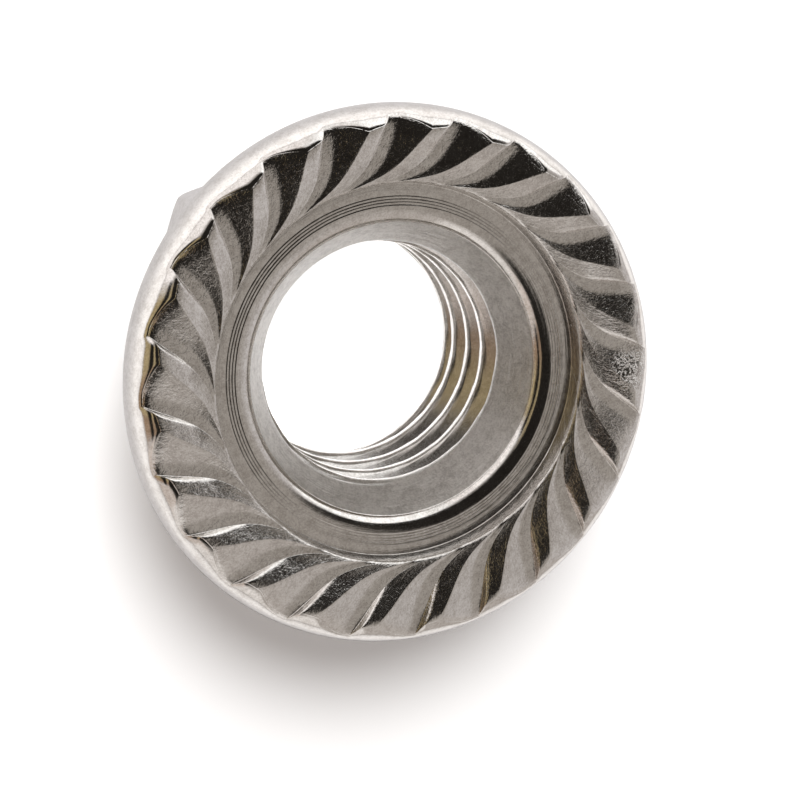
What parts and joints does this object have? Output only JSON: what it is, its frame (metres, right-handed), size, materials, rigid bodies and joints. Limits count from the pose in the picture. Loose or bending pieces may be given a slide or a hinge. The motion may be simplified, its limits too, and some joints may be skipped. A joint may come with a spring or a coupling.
{
  "type": "serrated flange nut",
  "caption": "Hexagon nut with a wide round flange in one piece; swept serrations on the flange bite into the clamped face.",
  "frame": {"origin": "centre of the hexagon's plain end, the face it stands on", "axes": "+Z along the thread's axis, towards the serrated bearing face; +X through a corner of the hexagon"},
  "size_m": [0.0188, 0.0188, 0.01],
  "materials": {
    "plated_steel": "bright nickel-like plating over cold-headed and turned steel"
  },
  "bodies": {
    "root": {"flange_nut": "plated_steel"}
  },
  "joints": []
}
